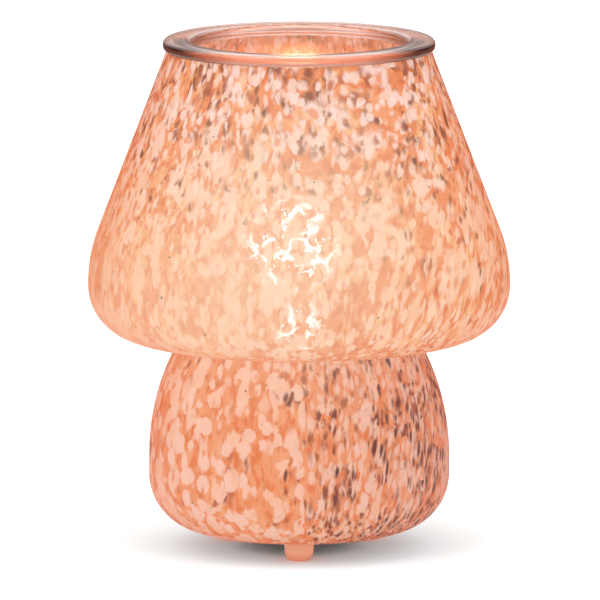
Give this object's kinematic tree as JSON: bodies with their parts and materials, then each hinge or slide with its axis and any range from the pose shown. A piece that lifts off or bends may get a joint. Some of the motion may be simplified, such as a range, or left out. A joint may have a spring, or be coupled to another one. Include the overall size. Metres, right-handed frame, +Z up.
{
  "type": "electric wax warmer",
  "caption": "Mushroom-lamp-shaped wax warmer: one mottled blown-glass vessel lit from inside by a globe bulb, with a lift-off clear glass wax dish, clear feet and a switched cord.",
  "frame": {"origin": "on the floor, under the middle of the glass vessel and of the circle that the three feet stand on", "axes": "+Z up, +Y towards the back, where the cord leaves, -Y towards the front foot"},
  "size_m": [0.1862, 0.2648, 0.2262],
  "materials": {
    "mottled_glass": "matt outside, mottled with pale, orange and brown glass chips, lit from inside",
    "clear_glass": "clear pressed glass, polished",
    "clear_foot": "clear soft plastic that picks up the glow above it",
    "white_plastic": "fine moulded grain",
    "silicone": "matt silicone",
    "zinc_steel": "zinc plated",
    "brass": "plain sheet and turned brass",
    "phenolic": "black phenolic, slightly glossy",
    "nickel": "nickel plated",
    "bulb_glass": "clear thin glass",
    "tungsten": "glowing coil",
    "black_glass": "black glass insulator",
    "wire_black": "wire insulation",
    "wire_white": "wire insulation",
    "cord_pvc": "satin white cord plastic",
    "tie_fabric": "woven hook-and-loop strap"
  },
  "bodies": {
    "lamp": {"glass_body": "mottled_glass", "bumper_feet": "clear_foot", "base_cap": "white_plastic", "gasket_lower": "silicone", "gasket_upper": "silicone", "base_housing": "white_plastic", "cap_screws": "zinc_steel", "cord_clamp": "white_plastic", "cord_clamp_screws": "zinc_steel", "lamp_tube": "zinc_steel", "tube_nuts": "zinc_steel", "tube_washers": "zinc_steel", "tube_sleeve": "brass", "socket_cup": "phenolic", "socket_housing": "phenolic", "socket_screw_shell": "brass", "socket_centre_contact": "brass", "socket_rivets": "nickel", "wire_live": "wire_black", "wire_neutral": "wire_white", "lamp_cord": "cord_pvc", "plug_cord": "cord_pvc", "cord_tie": "tie_fabric", "switch_case_bottom": "white_plastic", "switch_case_top": "white_plastic", "switch_screws": "zinc_steel", "switch_terminals": "brass", "switch_blade": "brass", "switch_cores": "wire_white", "plug_body": "cord_pvc", "plug_blades": "nickel"},
    "dish": {"wax_dish": "clear_glass"},
    "bulb_tip": {"bulb_tip_contact": "nickel"},
    "bulb": {"bulb_glass": "bulb_glass", "bulb_stem": "bulb_glass", "bulb_leads": "nickel", "filament": "tungsten", "bulb_screw_shell": "nickel", "bulb_insulator": "black_glass"},
    "switch_rocker": {"rocker": "white_plastic"}
  },
  "joints": [
    {"name": "dish_lift", "type": "slide", "parent": "lamp", "child": "dish", "axis": [0, 0, 1], "range_m": [0, 0.06]},
    {"name": "bulb_rise", "type": "slide", "parent": "lamp", "child": "bulb_tip", "axis": [0, 0, 1], "range_m": [0, 0.009]},
    {"name": "bulb_turn", "type": "hinge", "parent": "bulb_tip", "child": "bulb", "pos_m": [0, 0, 0.077], "axis": [0, 0, 1], "range_deg": [0, 1260]},
    {"name": "rocker_tilt", "type": "hinge", "parent": "lamp", "child": "switch_rocker", "pos_m": [0, 0.084, 0.01], "axis": [1, 0, 0], "range_deg": [-24, 0]}
  ],
  "couplings": [
    {"joint": "bulb_rise", "follows": "bulb_turn", "m_per_rad": 0.00040425}
  ]
}
